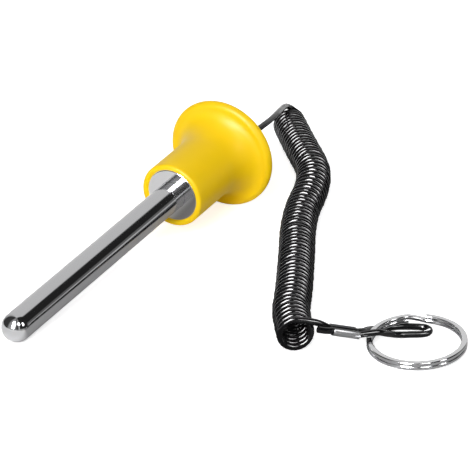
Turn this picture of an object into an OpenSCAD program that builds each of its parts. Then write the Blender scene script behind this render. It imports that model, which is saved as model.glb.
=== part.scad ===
// Magnetic weight stack pin on a coiled lanyard, in millimetres.
// The pin lies on a table: its domed tip and the rim of its knob touch Z = 0,
// its axis is in the XZ plane and its tip points to -X.

/* [Shaft] */
// Diameter of the shaft
shaft_d = 10; // [8:0.5:12]
// Reach of the shaft, from the mouth of the knob to the tip
shaft_reach = 101.5; // [70:0.5:130]
// Depth of the relief turned on the shaft inside the pole plate
relief_depth = 0.3; // [0.2:0.1:0.5]
// Diameter of the spigot that carries the magnet stack
spigot_d = 8; // [6:0.5:8.5]
// Length of spigot bonded into the knob behind the magnet stack
bond_length = 9; // [8:0.5:12]
// Width of each glue groove on the spigot
glue_groove_w = 1.2; // [0.8:0.1:1.6]
// Depth of each glue groove on the spigot
glue_groove_depth = 0.4; // [0.2:0.1:0.6]

/* [Magnet stack] */
// Diameter of the magnet and of its two plates
stack_d = 18.7; // [16:0.1:19]
// Thickness of the bright pole plate in the mouth
pole_plate_t = 2; // [1.5:0.5:3]
// Thickness of the ring magnet
magnet_t = 8; // [5:0.5:10]
// Thickness of the plate behind the magnet
back_plate_t = 1.5; // [1:0.5:2]
// Depth of the pole plate's face below the mouth of the knob
face_recess = 0.6; // [0.3:0.1:1.2]
// Radius of the pole plate's turned edge
plate_edge_r = 0.3; // [0.2:0.1:0.5]

/* [Knob] */
// Outer diameter of the sleeve round the magnet
sleeve_d = 23.1; // [22.5:0.1:25]
// Distance from the mouth to the front of the thumb disc
disc_front = 33.2; // [32:0.2:38]
// Diameter of the thumb disc
disc_d = 39.7; // [37:0.1:46]
// Thickness of the thumb disc at its rounded rim
disc_t = 3.9; // [3:0.1:4.5]
// Rise of the thumb disc's back towards its middle
back_rise = 1.5; // [1:0.1:2.5]
// Length of the flare from the sleeve to the disc
flare_length = 11.5; // [9:0.5:13]

/* [Cord stop] */
// Diameter of the stop crimped on the cord inside the knob
stop_d = 6.4; // [5:0.2:6.6]
// Length of the stop
stop_length = 6; // [4:0.5:7]

/* [Cord] */
// Diameter of the cord
cord_d = 2.2; // [1.8:0.1:2.3]
// Outer diameter of the coiled stretch
coil_d = 12.6; // [11:0.1:12.6]

/* [Ferrule] */
// Length of the folded ferrule that closes the cord's loop
ferrule_length = 9.4; // [7:0.1:9.5]
// Wall of the ferrule
ferrule_wall = 0.4; // [0.3:0.1:0.6]
// Angle by which each side of the ferrule wraps over its strand, above the strand's middle
ferrule_wrap = 45; // [30:5:70]

/* [Split ring] */
// Outer diameter of the split ring
ring_d = 32; // [31.6:0.1:32]
// Width of the ring's wire, along the ring's radius
ring_wire_w = 1.9; // [1.6:0.1:2]
// Thickness of the ring's wire, of which two turns lie on each other
ring_wire_t = 1.35; // [1.1:0.05:1.4]
// Radius of the corners of the ring's wire
ring_wire_corner = 0.45; // [0.3:0.05:0.5]

/* [Hidden] */
$fn = 96;

// Radial gap between the pieces that are pushed together.
slip = 0.05;
// Slack between the stop and the ends of its pocket.
stop_slack = 0.5;
// Wider bore that the cord runs through.
cord_hole_d = cord_d + 0.8;
stop_bore_d = cord_d + 0.3;

// Stations along the pin's axis, counted from the end of the tip.
shaft_r = shaft_d / 2;
mouth = shaft_reach;
pole_face = mouth + face_recess;
magnet_front = pole_face + pole_plate_t;
magnet_back = magnet_front + magnet_t;
stack_end = magnet_back + back_plate_t;
spigot_end = stack_end + bond_length;
stop_pocket_d = stop_d + 0.4;
stop_front = spigot_end + stop_slack;
stop_back = stop_front + stop_length;
disc_face = mouth + disc_front;
disc_mid = disc_face + disc_t / 2;
disc_back = disc_face + disc_t;

// Rim of the disc: a full round.
rim_r = disc_t / 2;
rim_centre_r = disc_d / 2 - rim_r;
// Back of the disc: a shallow dome that starts where the rim ends.
dome_r = (rim_centre_r * rim_centre_r + back_rise * back_rise) / (2 * back_rise);
knob_end = disc_back + back_rise;
sleeve_r = sleeve_d / 2;
pocket_r = stack_d / 2 + slip;
lip_r = (sleeve_r - pocket_r) / 2;

// The pin leans on its tip and on the rim of its disc.
lean_run = disc_mid - shaft_r;
lean = atan2(rim_centre_r, lean_run)
     + asin((rim_r - shaft_r) / norm([lean_run, rim_centre_r]));
// The origin is below the middle of the pin, from its tip to its domed back.
back_reach = (knob_end - dome_r - shaft_r) * cos(lean) + dome_r;
tip_x = -(back_reach - shaft_r) / 2;

// Ferrule: the middle of its length, its heading in plan and its dip.
ferrule_at = [-19, -93.6, 6.4];
ferrule_heading = -40;
ferrule_dip = 17;
strand_gap = 0.1;
strand_offset = (cord_d + strand_gap) / 2;

// Split ring: the plan of its centre, and how it leans on the cord.
ring_plan = [-7.7, -113.6];
ring_lean = [0.8, -5.4, 0];
ring_joggle = 26.5;
ring_joggle_half = 11;
ring_joggle_lap = 1;
ring_lean_total = acos(cos(ring_lean[0]) * cos(ring_lean[1]));
ring_z = (ring_d / 2 - ring_wire_corner) * sin(ring_lean_total)
       + (ring_wire_t - ring_wire_corner) * cos(ring_lean_total) + ring_wire_corner;

// Route of the cord's free stretches, in the order that it runs.
lead_route = [
    [62.5, 0, 19.4], [66, 0, 19.8], [69.5, 0, 20.2], [73.5, 0, 20.6], [77.5, -0.1, 20.9],
    [82, -0.2, 21], [87, -0.2, 20.7], [92, 0, 20.1], [97, 0.5, 19.9], [102, 1.3, 19.5],
    [107, 2.4, 19], [112, 3.8, 18.3], [117, 5.5, 17.4], [122, 7.3, 16.3],
    [127, 9, 15.2], [131, 10.2, 14], [134, 10.2, 12.5], [135.5, 8.5, 10.4]];
coil_route = [
    [134, 10.7], [126, 4.2], [117.9, -2.4], [109.5, -9.4], [101.7, -15.9], [94.5, -21],
    [86.6, -25.1], [77, -29], [66, -32.7], [55.8, -36.8], [43, -42.8], [30.8, -49.2],
    [17.5, -56], [4.9, -62.4], [-6, -67.7], [-15, -72.2], [-28.8, -81.4]];
tail_route = [[-28.1, -82.5, 11.3], [-26.5, -84.8, 10.9], [-24.4, -87.4, 9.9]];
back_strand = [
    [-11.6, -96.5, 4.1], [-8, -96, 3], [-4.6, -96.4, 2], [-1.6, -97.6, 1.3],
    [0.9, -99.5, 1.15], [3, -101.9, 1.15], [4.5, -104.5, 1.15], [5.8, -107.2, 1.15]];
loop_end = [[6.5, -109.7, 1.15], [5.3, -111.6, 1.15], [3.1, -112, 1.15], [1.2, -110.6, 1.15]];
front_strand = [
    [-0.5, -108, 1.15], [-2.5, -105.3, 1.25], [-5.4, -103.6, 2.2], [-8.8, -102.9, 3.7],
    [-12.1, -101.8, 5.15]];
stub_route = [[-25.2, -90.2, 8.3], [-27.4, -88.6, 9.2]];

// A point inside the ferrule: how far along it, and on which side.
function in_ferrule(along, side) =
    ferrule_at
    + along * [cos(ferrule_heading) * cos(ferrule_dip),
               sin(ferrule_heading) * cos(ferrule_dip), -sin(ferrule_dip)]
    + side * strand_offset * [-sin(ferrule_heading), cos(ferrule_heading), 0];

half_ferrule = ferrule_length / 2;
end_route = concat(
    tail_route,
    [for (along = [-1 : 1]) in_ferrule(along * half_ferrule, 1)],
    back_strand, loop_end, front_strand,
    [for (along = [1 : -1 : -1]) in_ferrule(along * half_ferrule, -1)],
    stub_route);

steel = [0.75, 0.76, 0.78];
bright_nickel = [0.84, 0.84, 0.85];
knob_yellow = [0.96, 0.80, 0.06];
cord_black = [0.05, 0.05, 0.055];

// ---- helpers ----

// Points of an arc round c, from angle a to angle b.
function arc(c, r, a, b, steps) =
    [for (i = [0 : steps]) let (t = a + (b - a) * i / steps) c + r * [cos(t), sin(t)]];

function unit(v) = v / norm(v);

// Smooth curve through the points of a route: the point at t = 0..1 after point i.
function clamp_at(route, i) = route[max(0, min(len(route) - 1, i))];
function on_curve(route, i, t) =
    let (a = clamp_at(route, i - 1), b = clamp_at(route, i),
         c = clamp_at(route, i + 1), d = clamp_at(route, i + 2))
    0.5 * (2 * b + (c - a) * t + (2 * a - 5 * b + 4 * c - d) * t * t
           + (3 * b - a - 3 * c + d) * t * t * t);
function smooth(route, cuts) =
    concat([for (i = [0 : len(route) - 2], j = [0 : cuts - 1]) on_curve(route, i, j / cuts)],
           [route[len(route) - 1]]);

function heading(path, i) =
    unit(clamp_at(path, i + 1) - clamp_at(path, i - 1));

// Closed tube of diameter d along a path, with its corners set level with the table.
module tube(path, d, sides) {
    rings = [for (i = [0 : len(path) - 1])
        let (h = heading(path, i), side = unit(cross(h, [0, 0, 1])), up = cross(side, h))
        for (k = [0 : sides - 1])
            let (a = 360 * k / sides - 90)
            path[i] + d / 2 * (cos(a) * side + sin(a) * up)];
    last = len(path) - 1;
    walls = [for (i = [0 : last - 1], k = [0 : sides - 1])
        let (next = (k + 1) % sides)
        [i * sides + k, i * sides + next, (i + 1) * sides + next, (i + 1) * sides + k]];
    caps = [[for (k = [sides - 1 : -1 : 0]) k], [for (k = [0 : sides - 1]) last * sides + k]];
    polyhedron(points = rings, faces = concat(walls, caps), convexity = 10);
}

// Sets a piece modelled along +Z from the tip onto the table.
module lay_down() {
    translate([tip_x, 0, shaft_r]) rotate([0, 90 - lean, 0]) translate([0, 0, -shaft_r])
        children();
}

module disc_with_bore(d, bore_d, t) {
    difference() {
        cylinder(h = t, d = d);
        translate([0, 0, -1]) cylinder(h = t + 2, d = bore_d);
    }
}

// ---- pieces ----

// Steel rod with a domed tip, full diameter up to the pole face, then a relieved
// shoulder that stops the magnet and a grooved spigot.
module shaft() {
    groove_pitch = bond_length / 3;
    color(steel) lay_down() difference() {
        union() {
            translate([0, 0, shaft_r]) sphere(r = shaft_r);
            translate([0, 0, shaft_r]) cylinder(h = pole_face - shaft_r, r = shaft_r);
            translate([0, 0, shaft_r])
                cylinder(h = magnet_front - shaft_r, r = shaft_r - relief_depth);
            translate([0, 0, shaft_r]) cylinder(h = spigot_end - shaft_r, d = spigot_d);
        }
        for (i = [1 : 2])
            translate([0, 0, stack_end + i * groove_pitch - glue_groove_w / 2])
                disc_with_bore(spigot_d + 2, spigot_d - 2 * glue_groove_depth, glue_groove_w);
    }
}

// Bright washer on the shaft in the mouth of the knob, with its front edge turned round.
module pole_plate() {
    edge_centre = stack_d / 2 - plate_edge_r;
    color(bright_nickel) lay_down() translate([0, 0, pole_face]) rotate_extrude()
        difference() {
            union() {
                translate([0, plate_edge_r])
                    square([stack_d / 2, pole_plate_t - plate_edge_r]);
                square([edge_centre, plate_edge_r]);
                translate([edge_centre, plate_edge_r]) circle(r = plate_edge_r);
            }
            translate([-stack_d, -1]) square([stack_d + shaft_r + slip, pole_plate_t + 2]);
        }
}

module ring_magnet() {
    color("dimgray") lay_down() translate([0, 0, magnet_front])
        disc_with_bore(stack_d, spigot_d + 2 * slip, magnet_t);
}

module back_plate() {
    color(steel) lay_down() translate([0, 0, magnet_back])
        disc_with_bore(stack_d, spigot_d + 2 * slip, back_plate_t);
}

// Half section of the knob: rounded lip, sleeve, trumpet flare, round rim, domed back.
module knob_section() {
    flare_r = rim_centre_r - sleeve_r;
    dome_start = asin(rim_centre_r / dome_r);
    flare_steps = 24;
    lip = arc([sleeve_r - lip_r, mouth + lip_r], lip_r, -90, 0, 8);
    flare = [for (i = [0 : flare_steps]) let (t = 90 * i / flare_steps)
        [sleeve_r + flare_r * (1 - cos(t)), disc_face - flare_length * (1 - sin(t))]];
    rim = arc([rim_centre_r, disc_mid], rim_r, -90, 90, 16);
    back = arc([0, knob_end - dome_r], dome_r, 90 - dome_start, 90, 12);
    polygon(concat([[0, mouth]], lip, flare, rim, back));
}

// One yellow moulding: magnet pocket, spigot bore, stop pocket and cord hole.
module knob() {
    color(knob_yellow) lay_down() difference() {
        rotate_extrude() knob_section();
        translate([0, 0, mouth - 1]) cylinder(h = stack_end - mouth + 1, r = pocket_r);
        translate([0, 0, mouth]) rotate_extrude() difference() {
            square([pocket_r + lip_r, lip_r]);
            translate([pocket_r + lip_r, lip_r]) circle(r = lip_r);
        }
        translate([0, 0, stack_end - 1])
            cylinder(h = spigot_end + stop_slack - stack_end + 1, d = spigot_d + 2 * slip);
        translate([0, 0, spigot_end]) cylinder(h = stop_back - spigot_end, d = stop_pocket_d);
        translate([0, 0, stop_back - 1]) cylinder(h = knob_end - stop_back + 2, d = cord_hole_d);
    }
}

// Barrel crimped on the end of the cord, with a squeezed waist.
module cord_stop() {
    waist_r = stop_length / 2;
    waist_depth = 0.4;
    color(steel) lay_down() translate([0, 0, stop_front]) rotate_extrude() difference() {
        square([stop_d / 2, stop_length]);
        translate([stop_d / 2 + waist_r - waist_depth, stop_length / 2]) circle(r = waist_r);
        translate([-1, -1]) square([1 + stop_bore_d / 2, stop_length + 2]);
    }
}

module lanyard_lead() {
    color(cord_black) tube(smooth(lead_route, 1), cord_d, 8);
}

// The coiled stretch, as one tube of its outer diameter.
module lanyard_coil() {
    axis = [for (p = coil_route) [p[0], p[1], coil_d / 2]];
    color(cord_black) tube(axis, coil_d, 16);
}

// Tail, loop and stub: one stretch of cord that passes through the ferrule twice.
module lanyard_end() {
    color(cord_black) tube(smooth(end_route, 2), cord_d, 8);
}

// Outline that two cords side by side just fill, grown by a margin.
module twin_outline(margin) {
    r = cord_d / 2 + margin;
    for (side = [-1, 1]) translate([0, side * strand_offset]) circle(r = r);
    square([2 * r, 2 * strand_offset], center = true);
}

// Strip of metal folded round both strands, with its seam open on top.
module crimp_ferrule() {
    wall_middle_r = cord_d / 2 + slip + ferrule_wall / 2;
    seam_half = strand_offset + wall_middle_r * cos(ferrule_wrap);
    color("silver") translate(ferrule_at) rotate([0, 0, ferrule_heading])
        rotate([0, 90 + ferrule_dip, 0])
            translate([0, 0, -half_ferrule]) linear_extrude(height = ferrule_length)
                difference() {
                    twin_outline(slip + ferrule_wall);
                    twin_outline(slip);
                    translate([-cord_d - ferrule_wall, -seam_half])
                        square([cord_d + ferrule_wall, 2 * seam_half]);
                }
}

// Rounded section of the ring's wire, standing on a given level.
module wire_section(level) {
    inner = ring_d / 2 - ring_wire_w;
    c = ring_wire_corner;
    translate([inner, level]) {
        translate([c, 0]) square([ring_wire_w - 2 * c, ring_wire_t]);
        translate([0, c]) square([ring_wire_w, ring_wire_t - 2 * c]);
        for (x = [c, ring_wire_w - c], y = [c, ring_wire_t - c])
            translate([x, y]) circle(r = c, $fn = 32);
    }
}

module wire_turn(level, from, sweep) {
    rotate([0, 0, from]) rotate_extrude(angle = sweep) wire_section(level);
}

// Two turns of flat wire on each other, joined by one sloping joggle.
module split_ring() {
    run = 360 - 2 * ring_joggle_half;
    start = ring_joggle + ring_joggle_half;
    reach = ring_joggle_half + ring_joggle_lap;
    wire_mid_r = (ring_d - ring_wire_w) / 2;
    slope = asin(ring_wire_t / 2 / (wire_mid_r * sin(ring_joggle_half)));
    color("gainsboro") translate([ring_plan[0], ring_plan[1], ring_z]) rotate(ring_lean) {
        wire_turn(-ring_wire_t, start, run);
        wire_turn(0, start, run);
        rotate([0, 0, ring_joggle]) rotate([slope, 0, 0])
            wire_turn(-ring_wire_t / 2, -reach, 2 * reach);
    }
}

shaft();
pole_plate();
ring_magnet();
back_plate();
knob();
cord_stop();
lanyard_lead();
lanyard_coil();
lanyard_end();
crimp_ferrule();
split_ring();
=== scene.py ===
"""Weight stack pin: steel shaft, yellow magnet knob, coiled lanyard and split ring.

The pin lies on its tip and on the rim of its knob. Lengths are in metres.
"""

import math

import bmesh
import bpy
from bpy.props import FloatProperty, FloatVectorProperty, IntProperty, PointerProperty
from mathutils import Matrix, Vector


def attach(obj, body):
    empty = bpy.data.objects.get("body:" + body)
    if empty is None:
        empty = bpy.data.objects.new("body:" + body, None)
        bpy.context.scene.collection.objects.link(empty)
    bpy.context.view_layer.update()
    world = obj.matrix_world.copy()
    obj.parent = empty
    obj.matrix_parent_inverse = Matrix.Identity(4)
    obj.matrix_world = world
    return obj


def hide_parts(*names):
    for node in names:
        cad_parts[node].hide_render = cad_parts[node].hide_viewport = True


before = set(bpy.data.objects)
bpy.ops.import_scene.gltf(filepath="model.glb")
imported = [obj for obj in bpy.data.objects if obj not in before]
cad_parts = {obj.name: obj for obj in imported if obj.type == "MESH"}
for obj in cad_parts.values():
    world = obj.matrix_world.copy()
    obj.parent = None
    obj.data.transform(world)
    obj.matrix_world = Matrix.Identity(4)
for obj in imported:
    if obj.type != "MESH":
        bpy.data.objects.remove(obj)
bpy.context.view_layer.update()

bl_info = {
    "name": "Weight Stack Pin",
    "version": (1, 0, 0),
    "blender": (4, 5, 0),
    "location": "View3D > Sidebar > Weight Pin",
    "description": "Magnetic selector pin with a coiled lanyard and a split ring",
    "category": "Add Mesh",
}

MM = 0.001
PIN = "pin"
RING = "ring"

# ---- where the pin lies ----

# Lean of the pin's axis, which lies on its tip and on the rim of its disc.
LEAN = math.radians(6.4274)
# Middle of the domed tip's sphere.
TIP_X = -64.963 * MM

# ---- route of the cord, in millimetres ----

LEAD_ROUTE = [
    (62.5, 0, 19.4), (66, 0, 19.8), (69.5, 0, 20.2), (73.5, 0, 20.6), (77.5, -0.1, 20.9),
    (82, -0.2, 21), (87, -0.2, 20.7), (92, 0, 20.1), (97, 0.5, 19.9), (102, 1.3, 19.5),
    (107, 2.4, 19), (112, 3.8, 18.3), (117, 5.5, 17.4), (122, 7.3, 16.3),
    (127, 9, 15.2), (131, 10.2, 14), (134, 10.2, 12.5)]
COIL_ROUTE = [
    (134, 10.7), (126, 4.2), (117.9, -2.4), (109.5, -9.4), (101.7, -15.9), (94.5, -21),
    (86.6, -25.1), (77, -29), (66, -32.7), (55.8, -36.8), (43, -42.8), (30.8, -49.2),
    (17.5, -56), (4.9, -62.4), (-6, -67.7), (-15, -72.2), (-28.8, -81.4)]
TAIL_ROUTE = [(-26.5, -84.8, 10.9), (-24.4, -87.4, 9.9)]
BACK_STRAND = [
    (-11.6, -96.5, 4.1), (-8, -96, 3), (-4.6, -96.4, 2), (-1.6, -97.6, 1.3),
    (0.9, -99.5, 1.15), (3, -101.9, 1.15), (4.5, -104.5, 1.15), (5.8, -107.2, 1.15)]
LOOP_END = [(6.5, -109.7, 1.15), (5.3, -111.6, 1.15), (3.1, -112, 1.15), (1.2, -110.6, 1.15)]
FRONT_STRAND = [
    (-0.5, -108, 1.15), (-2.5, -105.3, 1.25), (-5.4, -103.6, 2.2), (-8.8, -102.9, 3.7),
    (-12.1, -101.8, 5.15)]
STUB_ROUTE = [(-25.2, -90.2, 8.3), (-27.4, -88.6, 9.2)]

# Pitch of the coil at distances from its start, in millimetres: it opens in its bend.
COIL_PITCH = [(0, 2.55), (40, 2.7), (65, 3.35), (92, 2.75), (112, 2.6), (150, 2.8), (188, 2.95)]

# Ferrule: the middle of its length, its heading in plan and its dip.
FERRULE_AT = Vector((-19, -93.6, 6.4)) * MM
FERRULE_HEADING = math.radians(-40)
FERRULE_DIP = math.radians(17)

# Split ring: its centre, how it leans on the cord, and where its joggle is.
RING_AT = Vector((-7.7, -113.6, 2.825)) * MM
RING_LEAN = (math.radians(0.8), math.radians(-5.4))
RING_JOGGLE = math.radians(26.5)
RING_JOGGLE_HALF = math.radians(11)

# Where the coil's winding starts and ends, from straight up.
COIL_STARTS = math.radians(30)
COIL_ENDS = math.radians(15)

# Room round each strand of the cord inside the ferrule.
STRAND_SLIP = 0.05 * MM

# Room that the magnet stack and the shaft's spigot have for their bond.
BOND_SLIP = 0.05 * MM

# Points along the rounds and the straight stretches of the turned pieces.
TIP_STEPS = 32
SHAFT_STEPS = 24
PLATE_STEPS = 12
LIP_STEPS = 20
SLEEVE_STEPS = 12
FLARE_STEPS = 48
RIM_STEPS = 28
BACK_STEPS = 24
EDGE_STEPS = 6


class PinSizes(bpy.types.PropertyGroup):
    """Sizes of the pin's own pieces"""

    shaft_d: FloatProperty(
        name="Shaft diameter", description="Diameter of the steel shaft",
        default=10 * MM, unit="LENGTH")
    shaft_reach: FloatProperty(
        name="Shaft reach", description="From the mouth of the knob to the tip",
        default=101.5 * MM, unit="LENGTH")
    relief_depth: FloatProperty(
        name="Relief depth", description="Relief turned on the shaft inside the pole plate",
        default=0.3 * MM, unit="LENGTH")
    spigot_d: FloatProperty(
        name="Spigot diameter", description="Reduced end of the shaft inside the knob",
        default=8 * MM, unit="LENGTH")
    bond_length: FloatProperty(
        name="Bonded length", description="Spigot behind the magnet stack",
        default=9 * MM, unit="LENGTH")
    stack_d: FloatProperty(
        name="Stack diameter", description="Diameter of the magnet and its plates",
        default=18.7 * MM, unit="LENGTH")
    stack_t: FloatProperty(
        name="Stack thickness", description="Both plates and the magnet together",
        default=11.5 * MM, unit="LENGTH")
    plate_t: FloatProperty(
        name="Pole plate thickness", description="Bright washer in the mouth",
        default=2 * MM, unit="LENGTH")
    face_recess: FloatProperty(
        name="Face recess", description="Depth of the pole plate below the knob's mouth",
        default=0.6 * MM, unit="LENGTH")
    sleeve_d: FloatProperty(
        name="Sleeve diameter", description="Outside of the knob round the magnet",
        default=23.1 * MM, unit="LENGTH")
    disc_front: FloatProperty(
        name="Disc front", description="From the mouth to the front of the thumb disc",
        default=33.2 * MM, unit="LENGTH")
    disc_d: FloatProperty(
        name="Disc diameter", description="Diameter of the thumb disc",
        default=39.7 * MM, unit="LENGTH")
    disc_t: FloatProperty(
        name="Disc thickness", description="Thickness of the disc at its round rim",
        default=3.9 * MM, unit="LENGTH")
    back_rise: FloatProperty(
        name="Back rise", description="Rise of the disc's back towards its middle",
        default=1.5 * MM, unit="LENGTH")
    flare_length: FloatProperty(
        name="Flare length", description="Trumpet flare from the sleeve to the disc",
        default=11.5 * MM, unit="LENGTH")
    round_steps: IntProperty(
        name="Round steps", description="Faces round each turned piece", default=160, min=24)


class CordSizes(bpy.types.PropertyGroup):
    """Sizes of the lanyard, its ferrule and its ring"""

    cord_d: FloatProperty(
        name="Cord diameter", description="Diameter of the plastic cord",
        default=2.2 * MM, unit="LENGTH")
    coil_d: FloatProperty(
        name="Coil diameter", description="Outer diameter of the coiled stretch",
        default=12.6 * MM, unit="LENGTH")
    turn_points: IntProperty(
        name="Points a turn", description="Points along each turn of the coil",
        default=22, min=12)
    ferrule_length: FloatProperty(
        name="Ferrule length", description="Length of the folded ferrule",
        default=9.4 * MM, unit="LENGTH")
    ferrule_wall: FloatProperty(
        name="Ferrule wall", description="Thickness of the ferrule's metal",
        default=0.4 * MM, unit="LENGTH")
    ferrule_wrap: FloatProperty(
        name="Ferrule wrap", description="How far each side folds over its strand",
        default=math.radians(45), subtype="ANGLE")
    ring_d: FloatProperty(
        name="Ring diameter", description="Outer diameter of the split ring",
        default=32 * MM, unit="LENGTH")
    wire_w: FloatProperty(
        name="Wire width", description="Ring's wire, along the ring's radius",
        default=1.9 * MM, unit="LENGTH")
    wire_t: FloatProperty(
        name="Wire thickness", description="Ring's wire, along the ring's axis",
        default=1.35 * MM, unit="LENGTH")


class PinColours(bpy.types.PropertyGroup):
    """Colours of the finishes and the brightness of the table"""

    knob: FloatVectorProperty(
        name="Knob", description="Colour of the knob's moulding", subtype="COLOR",
        size=4, default=(0.95, 0.62, 0.001, 1), min=0, max=1)
    steel: FloatVectorProperty(
        name="Steel", description="Polished steel of the shaft", subtype="COLOR",
        size=4, default=(0.62, 0.62, 0.63, 1), min=0, max=1)
    cord: FloatVectorProperty(
        name="Cord", description="Plastic of the cord", subtype="COLOR",
        size=4, default=(0.004, 0.004, 0.0045, 1), min=0, max=1)
    floor: FloatProperty(
        name="Floor", description="Brightness of the table in soft light",
        default=0.85, min=0, max=1)


# ---- curves and meshes ----

def arc(centre, radius, start, end, steps):
    """Points of an arc in the (radius, station) plane; the angles are in degrees."""
    points = []
    for i in range(steps + 1):
        t = math.radians(start + (end - start) * i / steps)
        points.append((centre[0] + radius * math.cos(t), centre[1] + radius * math.sin(t)))
    return points


def on_curve(route, i, t):
    """Point of the smooth curve through a route, a share t past point i."""
    last = len(route) - 1
    a, b, c, d = (route[max(0, min(last, i + k))] for k in (-1, 0, 1, 2))
    return 0.5 * (2 * b + (c - a) * t + (2 * a - 5 * b + 4 * c - d) * t ** 2
                  + (3 * b - a - 3 * c + d) * t ** 3)


def smooth(route, cuts):
    """Smooth curve through a route, with some cuts between each two of its points."""
    points = [on_curve(route, i, j / cuts) for i in range(len(route) - 1) for j in range(cuts)]
    return points + [route[-1]]


def in_metres(route, height=None):
    """A route in millimetres as vectors in metres."""
    if height is None:
        return [Vector(point) * MM for point in route]
    return [Vector((x * MM, y * MM, height)) for x, y in route]


def even(points, step):
    """Points at an even spacing along a line."""
    spaced = [points[0]]
    left = step
    for start, end in zip(points, points[1:]):
        run = (end - start).length
        done = 0.0
        while run - done >= left:
            done += left
            spaced.append(start.lerp(end, done / run))
            left = step
        left -= run - done
    return spaced


def pin_place():
    """Places a piece modelled along +Z from the end of the tip."""
    shaft_r = bpy.context.scene.pin_sizes.shaft_d / 2
    return (Matrix.Translation((TIP_X, 0, shaft_r))
            @ Matrix.Rotation(math.pi / 2 - LEAN, 4, "Y")
            @ Matrix.Translation((0, 0, -shaft_r)))


def ferrule_place():
    """Places a piece modelled along +Z on the ferrule's axis, with -X as its top."""
    return (Matrix.Translation(FERRULE_AT)
            @ Matrix.Rotation(FERRULE_HEADING, 4, "Z")
            @ Matrix.Rotation(math.pi / 2 + FERRULE_DIP, 4, "Y"))


def revolved(profile, closed):
    """A turned mesh: the (radius, station) profile spun round Z."""
    bm = bmesh.new()
    ring = [bm.verts.new((radius, 0, station)) for radius, station in profile]
    edges = [bm.edges.new(pair) for pair in zip(ring, ring[1:])]
    if closed:
        edges.append(bm.edges.new((ring[-1], ring[0])))
    bmesh.ops.spin(
        bm, geom=ring + edges, cent=(0, 0, 0), axis=(0, 0, 1), dvec=(0, 0, 0),
        angle=math.tau, steps=bpy.context.scene.pin_sizes.round_steps,
        use_merge=True, use_duplicate=False)
    bmesh.ops.remove_doubles(bm, verts=bm.verts, dist=1e-7)
    return bm


def piece(name, bm, place, material, body, sharp=35):
    """Turns a mesh into a finished piece that rides on a body."""
    bmesh.ops.transform(bm, matrix=place, verts=bm.verts)
    bmesh.ops.recalc_face_normals(bm, faces=bm.faces)
    for face in bm.faces:
        face.smooth = True
    mesh = bpy.data.meshes.new(name)
    bm.to_mesh(mesh)
    bm.free()
    mesh.set_sharp_from_angle(angle=math.radians(sharp))
    mesh.materials.append(material)
    made = bpy.data.objects.new(name, mesh)
    bpy.context.scene.collection.objects.link(made)
    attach(made, body)
    return made


# ---- finishes ----

def new_material(name):
    """A new material with its nodes and its links."""
    material = bpy.data.materials.new(name)
    material.use_nodes = True
    return material, material.node_tree.nodes, material.node_tree.links


def placed_coordinates(nodes, links, place, scale=(1, 1, 1)):
    """Object coordinates seen in a piece's own place, where its axis is Z, and scaled."""
    coordinates = nodes.new("ShaderNodeTexCoord")
    mapping = nodes.new("ShaderNodeMapping")
    mapping.vector_type = "TEXTURE"
    mapping.inputs["Location"].default_value = place.to_translation()
    mapping.inputs["Rotation"].default_value = place.to_euler()
    links.new(coordinates.outputs["Object"], mapping.inputs["Vector"])
    stretch = nodes.new("ShaderNodeVectorMath")
    stretch.operation = "MULTIPLY"
    stretch.inputs[1].default_value = scale
    links.new(mapping.outputs["Vector"], stretch.inputs[0])
    return stretch.outputs["Vector"]


def noise(nodes, links, vector, scale, detail=3.0):
    """Even noise between 0 and 1."""
    texture = nodes.new("ShaderNodeTexNoise")
    texture.inputs["Scale"].default_value = scale
    texture.inputs["Detail"].default_value = detail
    links.new(vector, texture.inputs["Vector"])
    return texture.outputs["Fac"]


def mapped(nodes, links, value, start, end, low, high, smooth_step=False):
    """Maps a value from start..end to low..high."""
    ramp = nodes.new("ShaderNodeMapRange")
    if smooth_step:
        ramp.interpolation_type = "SMOOTHSTEP"
    ramp.inputs["From Min"].default_value = start
    ramp.inputs["From Max"].default_value = end
    ramp.inputs["To Min"].default_value = low
    ramp.inputs["To Max"].default_value = high
    links.new(value, ramp.inputs["Value"])
    return ramp.outputs["Result"]


def feed(links, socket, value):
    """Sets a socket to a number, or links it to another socket."""
    if isinstance(value, float):
        socket.default_value = value
    else:
        links.new(value, socket)


def mixed(nodes, links, factor, first, second):
    """One value where the factor is 0, another where it is 1."""
    mix = nodes.new("ShaderNodeMix")
    links.new(factor, mix.inputs["Factor"])
    feed(links, mix.inputs["A"], first)
    feed(links, mix.inputs["B"], second)
    return mix.outputs["Result"]


def reckoned(nodes, links, operation, first, second):
    """Result of a maths node on two values."""
    node = nodes.new("ShaderNodeMath")
    node.operation = operation
    feed(links, node.inputs[0], first)
    feed(links, node.inputs[1], second)
    return node.outputs["Value"]


def bumped(nodes, links, shader, height, strength, distance):
    """Roughens a shader's surface by a height between 0 and 1."""
    bump = nodes.new("ShaderNodeBump")
    bump.inputs["Strength"].default_value = strength
    bump.inputs["Distance"].default_value = distance
    links.new(height, bump.inputs["Height"])
    links.new(bump.outputs["Normal"], shader.inputs["Normal"])


def metal(name, colour, place, roughness, varies, stretch, grain, depth):
    """Metal with fine marks that are stretched along one way of the piece."""
    material, nodes, links = new_material(name)
    shader = nodes["Principled BSDF"]
    shader.inputs["Base Color"].default_value = colour
    shader.inputs["Metallic"].default_value = 1.0
    vector = placed_coordinates(nodes, links, place, stretch)
    marks = noise(nodes, links, vector, grain)
    rough = mapped(nodes, links, marks, 0, 1, roughness - varies, roughness + varies)
    links.new(rough, shader.inputs["Roughness"])
    bumped(nodes, links, shader, marks, strength=0.25, distance=depth)
    return material


def polished_steel():
    """Polished shaft, marked along its length."""
    return metal(
        "polished_steel", bpy.context.scene.pin_colours.steel, pin_place(),
        roughness=0.1, varies=0.03, stretch=(1, 1, 0.02), grain=2600, depth=0.016 * MM)


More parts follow.
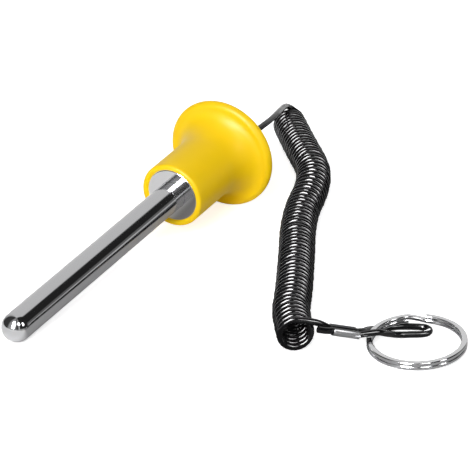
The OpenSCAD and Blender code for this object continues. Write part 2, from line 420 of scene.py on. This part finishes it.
def mirror_plate():
    """Mirror-bright plating of the pole plate."""
    return metal(
        "mirror_plate", (0.72, 0.72, 0.735, 1), pin_place(),
        roughness=0.09, varies=0.03, stretch=(1, 1, 1), grain=900, depth=0.006 * MM)


def plain_steel():
    """Dull steel of the hidden plate and stop."""
    return metal(
        "plain_steel", (0.56, 0.57, 0.58, 1), pin_place(),
        roughness=0.34, varies=0.08, stretch=(1, 1, 6), grain=700, depth=0.02 * MM)


def ferrule_metal():
    """Satin metal of the folded strip, marked along its length."""
    return metal(
        "ferrule_metal", (0.55, 0.55, 0.56, 1), ferrule_place(),
        roughness=0.34, varies=0.08, stretch=(1, 1, 0.1), grain=1800, depth=0.015 * MM)


def ring_steel():
    """Bright wire of the split ring, marked round its turns."""
    return metal(
        "ring_steel", (0.8, 0.8, 0.81, 1), ring_place(),
        roughness=0.12, varies=0.04, stretch=(1, 1, 8), grain=900, depth=0.01 * MM)


def magnet_grey():
    """Dull grey ceramic."""
    material, nodes, links = new_material("magnet_grey")
    shader = nodes["Principled BSDF"]
    shader.inputs["Roughness"].default_value = 0.7
    vector = placed_coordinates(nodes, links, pin_place())
    grit = noise(nodes, links, vector, scale=2400, detail=6)
    ramp = nodes.new("ShaderNodeValToRGB")
    ramp.color_ramp.elements[0].color = (0.03, 0.03, 0.032, 1)
    ramp.color_ramp.elements[1].color = (0.09, 0.09, 0.095, 1)
    links.new(grit, ramp.inputs["Fac"])
    links.new(ramp.outputs["Color"], shader.inputs["Base Color"])
    bumped(nodes, links, shader, grit, strength=0.5, distance=0.05 * MM)
    return material


def yellow_moulding():
    """Soft gloss moulded plastic with broad patches that are a shade deeper."""
    material, nodes, links = new_material("yellow_moulding")
    shader = nodes["Principled BSDF"]
    colour = Vector(bpy.context.scene.pin_colours.knob)
    deeper = 0.96
    vector = placed_coordinates(nodes, links, pin_place())
    patches = noise(nodes, links, vector, scale=90, detail=2)
    ramp = nodes.new("ShaderNodeValToRGB")
    ramp.color_ramp.elements[0].position = 0.3
    ramp.color_ramp.elements[0].color = colour * deeper
    ramp.color_ramp.elements[1].position = 0.7
    ramp.color_ramp.elements[1].color = colour
    links.new(patches, ramp.inputs["Fac"])
    links.new(ramp.outputs["Color"], shader.inputs["Base Color"])
    shader.inputs["Roughness"].default_value = 0.4
    shader.inputs["Specular IOR Level"].default_value = 0.22
    shader.inputs["Subsurface Weight"].default_value = 0.08
    shader.inputs["Subsurface Scale"].default_value = 1.2 * MM
    shader.inputs["Subsurface Radius"].default_value = (1.0, 0.7, 0.2)
    pores = noise(nodes, links, vector, scale=1500, detail=4)
    bumped(nodes, links, shader, pores, strength=0.12, distance=0.02 * MM)
    return material


def black_cord():
    """Glossy drawn plastic with a faint waviness."""
    material, nodes, links = new_material("black_cord")
    shader = nodes["Principled BSDF"]
    shader.inputs["Base Color"].default_value = bpy.context.scene.pin_colours.cord
    coordinates = nodes.new("ShaderNodeTexCoord")
    waves = noise(nodes, links, coordinates.outputs["Object"], scale=700)
    links.new(mapped(nodes, links, waves, 0, 1, 0.07, 0.15), shader.inputs["Roughness"])
    bumped(nodes, links, shader, waves, strength=0.15, distance=0.03 * MM)
    return material


# ---- the pin's pieces ----

class MESH_OT_pin_shaft(bpy.types.Operator):
    """Adds the steel shaft with its domed tip and its grooved spigot"""

    bl_idname = "mesh.pin_shaft"
    bl_label = "Add Shaft"

    def execute(self, context):
        sizes = context.scene.pin_sizes
        shaft_r = sizes.shaft_d / 2
        spigot_r = sizes.spigot_d / 2
        face = sizes.shaft_reach + sizes.face_recess
        shoulder = face + sizes.plate_t
        stack_end = face + sizes.stack_t
        spigot_end = stack_end + sizes.bond_length
        chamfer = 0.4 * MM
        groove_w = 1.2 * MM
        groove_depth = 0.4 * MM
        groove_r = spigot_r - groove_depth
        dome = arc((0, shaft_r), shaft_r, -90, 0, TIP_STEPS)
        body = [(shaft_r, shaft_r + (face - shaft_r) * i / SHAFT_STEPS)
                for i in range(1, SHAFT_STEPS + 1)]
        relief_r = shaft_r - sizes.relief_depth
        spigot = [(relief_r, face), (relief_r, shoulder), (spigot_r, shoulder)]
        for i in (1, 2):
            middle = stack_end + i * sizes.bond_length / 3
            spigot += [(spigot_r, middle - groove_w / 2), (groove_r, middle - groove_w / 2),
                       (groove_r, middle + groove_w / 2), (spigot_r, middle + groove_w / 2)]
        spigot += [(spigot_r, spigot_end - chamfer), (spigot_r - chamfer, spigot_end),
                   (0, spigot_end)]
        profile = [(0, 0)] + dome[1:] + body + spigot
        bm = revolved(profile, closed=False)
        made = piece("steel_shaft", bm, pin_place(), polished_steel(), PIN)
        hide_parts("shaft")
        return {"FINISHED"}


class MESH_OT_pin_plate(bpy.types.Operator):
    """Adds the bright pole plate in the mouth of the knob"""

    bl_idname = "mesh.pin_plate"
    bl_label = "Add Pole Plate"

    def execute(self, context):
        sizes = context.scene.pin_sizes
        face = sizes.shaft_reach + sizes.face_recess
        back = face + sizes.plate_t
        outer = sizes.stack_d / 2
        inner = sizes.shaft_d / 2 + BOND_SLIP
        edge = 0.3 * MM
        front = [(inner + (outer - edge - inner) * i / PLATE_STEPS, face)
                 for i in range(PLATE_STEPS)]
        turned_edge = arc((outer - edge, face + edge), edge, -90, 0, EDGE_STEPS)
        profile = front + turned_edge + [(outer, back), (inner, back)]
        bm = revolved(profile, closed=True)
        made = piece("bright_plate", bm, pin_place(), mirror_plate(), PIN)
        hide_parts("pole_plate")
        return {"FINISHED"}


class MESH_OT_pin_knob(bpy.types.Operator):
    """Adds the yellow knob: round lip, sleeve, trumpet flare, round rim and domed back"""

    bl_idname = "mesh.pin_knob"
    bl_label = "Add Knob"

    def execute(self, context):
        sizes = context.scene.pin_sizes
        mouth = sizes.shaft_reach
        disc_face = mouth + sizes.disc_front
        sleeve_r = sizes.sleeve_d / 2
        rim_r = sizes.disc_t / 2
        rim_centre = sizes.disc_d / 2 - rim_r
        pocket_r = sizes.stack_d / 2 + BOND_SLIP
        spigot_hole_r = sizes.spigot_d / 2 + BOND_SLIP
        lip_r = (sleeve_r - pocket_r) / 2
        dome_r = (rim_centre ** 2 + sizes.back_rise ** 2) / (2 * sizes.back_rise)
        knob_end = disc_face + sizes.disc_t + sizes.back_rise
        dome_start = math.degrees(math.asin(rim_centre / dome_r))
        cord_room = 0.4 * MM
        hole_r = context.scene.cord_sizes.cord_d / 2 + cord_room
        hole_edge = 0.35 * MM
        glue_room = 0.5 * MM
        stop_room_r = 3.4 * MM
        stop_room_length = 6 * MM
        stack_end = mouth + sizes.face_recess + sizes.stack_t
        pocket_end = stack_end + sizes.bond_length + glue_room
        stop_end = pocket_end + stop_room_length

        flare_rise = rim_centre - sleeve_r
        flare = []
        for i in range(1, FLARE_STEPS + 1):
            t = math.pi / 2 * i / FLARE_STEPS
            flare.append((sleeve_r + flare_rise * (1 - math.cos(t)),
                          disc_face - sizes.flare_length * (1 - math.sin(t))))
        lip = arc((sleeve_r - lip_r, mouth + lip_r), lip_r, -180, 0, LIP_STEPS)
        flare_start = disc_face - sizes.flare_length
        sleeve = [(sleeve_r, mouth + lip_r + (flare_start - mouth - lip_r) * i / SLEEVE_STEPS)
                  for i in range(1, SLEEVE_STEPS + 1)]
        rim = arc((rim_centre, disc_face + rim_r), rim_r, -90, 90, RIM_STEPS)[1:]
        back = arc((0, knob_end - dome_r), dome_r, 90 - dome_start, 90, BACK_STEPS)[1:-1]
        back = [point for point in back if point[0] > hole_r + hole_edge]
        hole_top = knob_end - dome_r + math.sqrt(dome_r ** 2 - (hole_r + hole_edge) ** 2)
        hole_lip = arc((hole_r + hole_edge, hole_top - hole_edge), hole_edge, 90, 180,
                       EDGE_STEPS)
        bore = [(hole_r, stop_end), (stop_room_r, stop_end), (stop_room_r, pocket_end),
                (spigot_hole_r, pocket_end), (spigot_hole_r, stack_end),
                (pocket_r, stack_end)]
        profile = lip + sleeve + flare + rim + back + hole_lip + bore
        bm = revolved(profile, closed=True)
        made = piece("yellow_knob", bm, pin_place(), yellow_moulding(), PIN)
        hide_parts("knob")
        # Left out of reflections, so that the steel and the cord show no yellow.
        made.visible_glossy = False
        return {"FINISHED"}


class MESH_OT_pin_inside(bpy.types.Operator):
    """Finishes the magnet, the back plate and the cord's stop inside the knob"""

    bl_idname = "mesh.pin_inside"
    bl_label = "Finish Inner Pieces"

    def execute(self, context):
        steel = plain_steel()
        finishes = {"ring_magnet": magnet_grey(), "back_plate": steel, "cord_stop": steel}
        for name, material in finishes.items():
            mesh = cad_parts[name].data
            mesh.materials.clear()
            mesh.materials.append(material)
        return {"FINISHED"}


# ---- the lanyard ----

def pitch_at(station):
    """Pitch of the coil at a distance from its start."""
    for (near, low), (far, high) in zip(COIL_PITCH, COIL_PITCH[1:]):
        if station <= far * MM:
            return (low + (high - low) * (station / MM - near) / (far - near)) * MM
    return COIL_PITCH[-1][1] * MM


def helix(axis, radius, turn_points):
    """Cord wound round a level axis line, clockwise as it comes towards the viewer."""
    step = 0.25 * MM
    # Steps before and after a point over which the line's heading is taken.
    span = 8
    # Small unevenness along and across the coil; the rates are in radians a turn.
    slack = 0.2 * MM
    slack_rate = 9.7
    swell = 0.012
    swell_rate = 2.3
    line = even(axis, step)
    turned = [0.0]
    for i in range(len(line) - 1):
        turned.append(turned[-1] + step / pitch_at(i * step))
    sweep = round(turned[-1]) * math.tau + COIL_ENDS - COIL_STARTS
    count = int(turn_points * sweep / math.tau)
    points = []
    k = 0
    for i in range(count + 1):
        share = i / count
        angle = COIL_STARTS + sweep * share
        while k < len(line) - 2 and turned[k + 1] < turned[-1] * share:
            k += 1
        between = (turned[-1] * share - turned[k]) / (turned[k + 1] - turned[k])
        drift = slack * math.sin(slack_rate * angle / math.tau) * math.sin(math.pi * share)
        middle = line[k].lerp(line[k + 1], min(1.0, between))
        forward = (line[min(len(line) - 1, k + span)] - line[max(0, k - span)]).normalized()
        left = Vector((0, 0, 1)).cross(forward)
        reach = radius * (1 - swell * (1 + math.sin(swell_rate * angle / math.tau)))
        points.append(middle + drift * forward + reach * (
            math.cos(angle) * Vector((0, 0, 1)) + math.sin(angle) * left))
    return points


def in_ferrule(along, side):
    """A point inside the ferrule: how far along it, and on which side."""
    strand_offset = bpy.context.scene.cord_sizes.cord_d / 2 + STRAND_SLIP
    forward = Vector((math.cos(FERRULE_HEADING) * math.cos(FERRULE_DIP),
                      math.sin(FERRULE_HEADING) * math.cos(FERRULE_DIP),
                      -math.sin(FERRULE_DIP)))
    across = Vector((-math.sin(FERRULE_HEADING), math.cos(FERRULE_HEADING), 0))
    return FERRULE_AT + along * forward + side * strand_offset * across


def cord_line():
    """The whole cord: lead, coil, tail, ferrule, loop, ferrule again and stub."""
    sizes = bpy.context.scene.cord_sizes
    half = sizes.ferrule_length / 2
    middle_r = (sizes.coil_d - sizes.cord_d) / 2
    cuts = 6
    axis = smooth(in_metres(COIL_ROUTE, sizes.coil_d / 2), 4 * cuts)
    coil = helix(axis, middle_r, sizes.turn_points)
    inside = [k * half for k in (-1, -0.5, 0, 0.5, 1)]
    lead = in_metres(LEAD_ROUTE)
    end = (in_metres(TAIL_ROUTE) + [in_ferrule(along, 1) for along in inside]
           + in_metres(BACK_STRAND + LOOP_END + FRONT_STRAND)
           + [in_ferrule(-along, -1) for along in inside] + in_metres(STUB_ROUTE))
    into_coil = smooth(lead + coil[:2], cuts)[:-cuts]
    out_of_coil = smooth(coil[-2:] + end, cuts)[cuts:]
    return into_coil + coil[1:-1] + out_of_coil


class CURVE_OT_pin_lanyard(bpy.types.Operator):
    """Adds the cord of the lanyard as one curve"""

    bl_idname = "curve.pin_lanyard"
    bl_label = "Add Cord"

    def execute(self, context):
        sizes = context.scene.cord_sizes
        line = cord_line()
        curve = bpy.data.curves.new("lanyard_cord", "CURVE")
        curve.dimensions = "3D"
        curve.bevel_depth = sizes.cord_d / 2
        curve.bevel_resolution = 4
        curve.use_fill_caps = True
        spline = curve.splines.new("POLY")
        spline.points.add(len(line) - 1)
        for point, place in zip(spline.points, line):
            point.co = (*place, 1)
        spline.use_smooth = True
        curve.materials.append(black_cord())
        cord = bpy.data.objects.new("lanyard_cord", curve)
        context.scene.collection.objects.link(cord)
        cord_collection().objects.link(cord)
        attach(cord, PIN)
        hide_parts("lanyard_lead", "lanyard_coil", "lanyard_end")
        return {"FINISHED"}


class MESH_OT_pin_ferrule(bpy.types.Operator):
    """Adds the strip of metal folded round the cord's two strands"""

    bl_idname = "mesh.pin_ferrule"
    bl_label = "Add Ferrule"

    def execute(self, context):
        sizes = context.scene.cord_sizes
        inner_r = sizes.cord_d / 2 + STRAND_SLIP
        outer_r = inner_r + sizes.ferrule_wall
        offset = sizes.cord_d / 2 + STRAND_SLIP
        fold_steps = 18
        edge = 0.12 * MM
        corner_turn = math.radians(50)
        half_seam = offset + (inner_r + outer_r) / 2 * math.cos(sizes.ferrule_wrap)
        outline = []
        for radius, way in ((outer_r, 1), (inner_r, -1)):
            over = math.degrees(math.acos((half_seam - offset) / radius))
            side = [(x, y) for y, x in arc((-offset, 0), radius, over - 180, -270, fold_steps)]
            side += [(x, y) for y, x in arc((offset, 0), radius, 90, -over, fold_steps)]
            outline += side[::way]
        bm = bmesh.new()
        ring = [bm.verts.new((x, y, -sizes.ferrule_length / 2)) for x, y in outline]
        face = bm.faces.new(ring)
        risen = bmesh.ops.extrude_face_region(bm, geom=[face])
        top = [item for item in risen["geom"] if isinstance(item, bmesh.types.BMVert)]
        bmesh.ops.translate(bm, vec=(0, 0, sizes.ferrule_length), verts=top)
        bm.normal_update()
        corners = [line for line in bm.edges if line.calc_face_angle(0) > corner_turn]
        bmesh.ops.bevel(bm, geom=corners, offset=edge, offset_type="OFFSET",
                        affect="EDGES", segments=3, profile=0.5, material=-1)
        made = piece("folded_ferrule", bm, ferrule_place(), ferrule_metal(), PIN)
        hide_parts("crimp_ferrule")
        return {"FINISHED"}


def ring_place():
    """Places a ring modelled round Z, where it leans on the cord."""
    return (Matrix.Translation(RING_AT)
            @ Matrix.Rotation(RING_LEAN[1], 4, "Y")
            @ Matrix.Rotation(RING_LEAN[0], 4, "X"))


def wire_section(width, thickness, corner, steps):
    """Rounded section of the ring's wire, round its own middle."""
    points = []
    for turn, (sx, sz) in enumerate(((1, 1), (-1, 1), (-1, -1), (1, -1))):
        centre = (sx * (width / 2 - corner), sz * (thickness / 2 - corner))
        points += arc(centre, corner, 90 * turn, 90 * turn + 90, steps)
    return points


class MESH_OT_pin_ring(bpy.types.Operator):
    """Adds the split ring: two turns of flat wire joined by one sloping joggle"""

    bl_idname = "mesh.pin_ring"
    bl_label = "Add Split Ring"

    def execute(self, context):
        sizes = context.scene.cord_sizes
        middle_r = (sizes.ring_d - sizes.wire_w) / 2
        gap = 0.02 * MM
        corner = 0.45 * MM
        corner_steps = 4
        turn_steps = 200
        joggle_steps = 12
        section = wire_section(sizes.wire_w, sizes.wire_t - gap, corner, corner_steps)
        bm = bmesh.new()
        ring = [bm.verts.new((middle_r + x, 0, z - sizes.wire_t / 2)) for x, z in section]
        start = bm.faces.new(ring)
        begin = RING_JOGGLE + RING_JOGGLE_HALF
        bmesh.ops.rotate(bm, cent=(0, 0, 0), matrix=Matrix.Rotation(begin, 3, "Z"),
                         verts=bm.verts)
        run = math.tau - 2 * RING_JOGGLE_HALF
        geometry = [start]
        stretches = (
            (run, turn_steps, 0),
            (2 * RING_JOGGLE_HALF, joggle_steps, sizes.wire_t),
            (run, turn_steps, 0))
        for sweep, steps, rise in stretches:
            turned = bmesh.ops.spin(
                bm, geom=geometry, cent=(0, 0, 0), axis=(0, 0, 1),
                dvec=(0, 0, rise / steps), angle=sweep, steps=steps,
                use_merge=False, use_duplicate=False)
            geometry = turned["geom_last"]
        made = piece("steel_split_ring", bm, ring_place(), ring_steel(), RING,
                     sharp=50)
        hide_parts("split_ring")
        return {"FINISHED"}


# ---- stage ----

# Camera: where it stands, what it looks at, and its focal length in its picture's pixels.
EYE_AT = Vector((-0.81033, -0.50584, 0.41767))
EYE_AIM = Vector((0.04457, -0.01739, 0))
FOCAL_PIXELS = 3103.4
PICTURE_PIXELS = 470
SENSOR_W = 36

FLOOR_HALF = 3
LAMP_AIM = Vector((0.01, -0.04, 0.01))
LAMP_DISTANCE = 1.5


def floor_material():
    """White to the eye with its soft shadow, pale to soft light, and carrying painted
    reflections that are brighter or darker by place.
    """
    material, nodes, links = new_material("pale_floor")
    shader = nodes["Principled BSDF"]
    shader.inputs["Roughness"].default_value = 0.9
    shader.inputs["Specular IOR Level"].default_value = 0.0
    rays = nodes.new("ShaderNodeLightPath")
    place = nodes.new("ShaderNodeTexCoord")
    parts = nodes.new("ShaderNodeSeparateXYZ")
    links.new(place.outputs["Object"], parts.inputs["Vector"])

    def soft_step(way, start, end, low, high):
        """Changes from low to high between two places along one way of the floor."""
        return mapped(nodes, links, parts.outputs[way], start, end, low, high, True)

    # Painted reflection: the metal sees the floor bright past the tip and behind the pin,
    # # dimmer in front of the pin, and dark by the coil and in the far corner.
    by_tip = soft_step("X", -0.07, -0.062, 1.0, 0.44)
    by_pin = soft_step("Y", -0.055, -0.03, 0.25, 1.0)
    by_ring = soft_step("Y", -0.088, -0.096, 0.0, 0.8)
    clear = reckoned(nodes, links, "MAXIMUM", by_pin, by_ring)
    shade = reckoned(nodes, links, "MULTIPLY", by_tip, clear)
    behind = soft_step("Y", 0.004, 0.01, 0.0, 1.0)
    by_place = mixed(nodes, links, behind, shade, 0.95)
    knob_side = soft_step("X", 0.02, 0.06, 0.0, 1.0)
    beyond = soft_step("Y", -0.1, -0.13, 0.0, 1.0)
    far_corner = reckoned(nodes, links, "MULTIPLY", knob_side, beyond)
    reflected = mixed(nodes, links, far_corner, by_place, 0.1)

    pale = bpy.context.scene.pin_colours.floor
    # Glossy rays see the painted reflection brightness; every other ray sees the even pale
    # floor.
    grey = mixed(nodes, links, rays.outputs["Is Glossy Ray"], pale, reflected)
    links.new(grey, shader.inputs["Base Color"])
    glow = nodes.new("ShaderNodeEmission")
    glow.inputs["Color"].default_value = (1, 1, 1, 1)
    to_the_eye = reckoned(nodes, links, "MULTIPLY", rays.outputs["Is Camera Ray"], 0.7)
    links.new(to_the_eye, glow.inputs["Strength"])
    both = nodes.new("ShaderNodeAddShader")
    links.new(shader.outputs["BSDF"], both.inputs[0])
    links.new(glow.outputs["Emission"], both.inputs[1])
    links.new(both.outputs["Shader"], nodes["Material Output"].inputs["Surface"])
    return material


def add_area(name, towards, size, brightness, glints):
    """A lamp in a direction from the pin; it makes either glints or soft light."""
    light = bpy.data.lights.new(name, "AREA")
    light.shape = "RECTANGLE"
    light.size, light.size_y = size
    light.energy = brightness * math.pi * size[0] * size[1]
    lamp = bpy.data.objects.new(name, light)
    away = Vector(towards).normalized()
    lamp.location = LAMP_AIM + LAMP_DISTANCE * away
    lamp.rotation_euler = (-away).to_track_quat("-Z", "Y").to_euler()
    lamp.visible_glossy = glints
    lamp.visible_diffuse = not glints
    bpy.context.scene.collection.objects.link(lamp)
    return lamp


def cord_collection():
    """The collection that the side lamp lights, which holds the cord alone."""
    name = "side_lit"
    return bpy.data.collections.get(name) or bpy.data.collections.new(name)


# Walls of the studio as reflections see them: heading in degrees, brightness.
STUDIO_WALLS = [
    (-180, 0.4), (-160, 0.3), (-148, 0.06), (-134, 0.06), (-131, 0.9), (-127, 0.9),
    (-124, 0.02), (-21.5, 0.02), (-15.5, 0.72), (55, 0.72), (70, 0.5), (80, 0.05), (138, 0.05),
    (150, 0.4), (180, 0.4)]


def studio_world():
    """Soft white light, mostly from the tip's side; reflections see walls and a horizon."""
    world = bpy.data.worlds.new("studio")
    world.use_nodes = True
    bpy.context.scene.world = world
    nodes, links = world.node_tree.nodes, world.node_tree.links
    rays = nodes.new("ShaderNodeLightPath")
    direction = nodes.new("ShaderNodeTexCoord")
    parts = nodes.new("ShaderNodeSeparateXYZ")
    links.new(direction.outputs["Generated"], parts.inputs["Vector"])
    heading = reckoned(nodes, links, "ARCTAN2", parts.outputs["Y"], parts.outputs["X"])
    share = mapped(nodes, links, heading, -math.pi, math.pi, 0, 1)
    walls = nodes.new("ShaderNodeValToRGB")
    stops = walls.color_ramp.elements
    for degrees, _ in STUDIO_WALLS[1:-1]:
        stops.new(degrees / 360 + 0.5)
    for stop, (_, brightness) in zip(stops, STUDIO_WALLS):
        stop.color = (brightness, brightness, brightness, 1)
    links.new(share, walls.inputs["Fac"])

    # A bright horizon with haze above it, on the knob's side alone.
    horizon = mapped(nodes, links, parts.outputs["Z"], 0.17, 0.06, 0.0, 0.6, True)
    haze = mapped(nodes, links, parts.outputs["Z"], 0.34, 0.24, 0.0, 0.16, True)
    low = reckoned(nodes, links, "MAXIMUM", horizon, haze)
    knob_side = mapped(nodes, links, parts.outputs["X"], 0.5, 0.62, 0.0, 1.0, True)
    narrow = reckoned(nodes, links, "MULTIPLY", low, knob_side)
    reflected = reckoned(nodes, links, "MAXIMUM", walls.outputs["Color"], narrow)
    soft = mapped(nodes, links, parts.outputs["X"], -1, 1, 0.5, 0.3)
    lit = mixed(nodes, links, rays.outputs["Is Glossy Ray"], soft, reflected)
    shown = mixed(nodes, links, rays.outputs["Is Camera Ray"], lit, 1.0)
    background = nodes["Background"]
    background.inputs["Color"].default_value = (1, 1, 1, 1)
    links.new(shown, background.inputs["Strength"])


class SCENE_OT_pin_stage(bpy.types.Operator):
    """Adds the camera, the floor and the studio light"""

    bl_idname = "scene.pin_stage"
    bl_label = "Add Stage"

    def execute(self, context):
        camera = bpy.data.cameras.new("camera")
        camera.sensor_width = SENSOR_W
        camera.lens = SENSOR_W * FOCAL_PIXELS / PICTURE_PIXELS
        eye = bpy.data.objects.new("camera", camera)
        eye.location = EYE_AT
        eye.rotation_euler = (EYE_AIM - EYE_AT).to_track_quat("-Z", "Y").to_euler()
        context.scene.collection.objects.link(eye)
        context.scene.camera = eye

        bm = bmesh.new()
        bmesh.ops.create_grid(bm, x_segments=1, y_segments=1, size=FLOOR_HALF)
        mesh = bpy.data.meshes.new("floor")
        bm.to_mesh(mesh)
        bm.free()
        mesh.materials.append(floor_material())
        floor = bpy.data.objects.new("floor", mesh)
        context.scene.collection.objects.link(floor)

        add_area("key", towards=(-0.8, -0.2, 0.56), size=(0.7, 0.7), brightness=11.4,
                 glints=False)
        add_area("back", towards=(0.9, 0.1, 0.3), size=(0.6, 0.5), brightness=7,
                 glints=False)
        add_area("strip", towards=(-0.84, -0.06, 0.52), size=(0.46, 1.3), brightness=36,
                 glints=True)
        add_area("fill", towards=(-0.05, -0.86, 0.5), size=(0.3, 0.5), brightness=9,
                 glints=True)
        add_area("sparkle", towards=(-0.5, -0.56, 0.66), size=(0.42, 0.42), brightness=9,
                 glints=True)
        side = add_area("side", towards=(-0.3, -0.76, 0.58), size=(0.55, 0.42),
                        brightness=20, glints=True)
        side.light_linking.receiver_collection = cord_collection()
        studio_world()
        context.scene.view_settings.view_transform = "Standard"
        return {"FINISHED"}


class VIEW3D_PT_weight_pin(bpy.types.Panel):
    """Lists the pin's pieces"""

    bl_label = "Weight Stack Pin"
    bl_space_type = "VIEW_3D"
    bl_region_type = "UI"
    bl_category = "Weight Pin"

    def draw(self, context):
        for operator in OPERATORS:
            self.layout.operator(operator.bl_idname)


OPERATORS = (SCENE_OT_pin_stage, MESH_OT_pin_ferrule, MESH_OT_pin_ring, CURVE_OT_pin_lanyard,
             MESH_OT_pin_shaft, MESH_OT_pin_plate, MESH_OT_pin_knob, MESH_OT_pin_inside)
CLASSES = (PinSizes, CordSizes, PinColours, VIEW3D_PT_weight_pin) + OPERATORS


def register():
    for cls in CLASSES:
        bpy.utils.register_class(cls)
    bpy.types.Scene.pin_sizes = PointerProperty(type=PinSizes)
    bpy.types.Scene.cord_sizes = PointerProperty(type=CordSizes)
    bpy.types.Scene.pin_colours = PointerProperty(type=PinColours)


def unregister():
    del bpy.types.Scene.pin_colours
    del bpy.types.Scene.cord_sizes
    del bpy.types.Scene.pin_sizes
    for cls in reversed(CLASSES):
        bpy.utils.unregister_class(cls)


def main():
    register()
    bpy.ops.scene.pin_stage()
    bpy.ops.mesh.pin_ferrule()
    bpy.ops.mesh.pin_ring()
    bpy.ops.curve.pin_lanyard()
    bpy.ops.mesh.pin_shaft()
    bpy.ops.mesh.pin_plate()
    bpy.ops.mesh.pin_knob()
    bpy.ops.mesh.pin_inside()


if __name__ == "__main__":
    main()
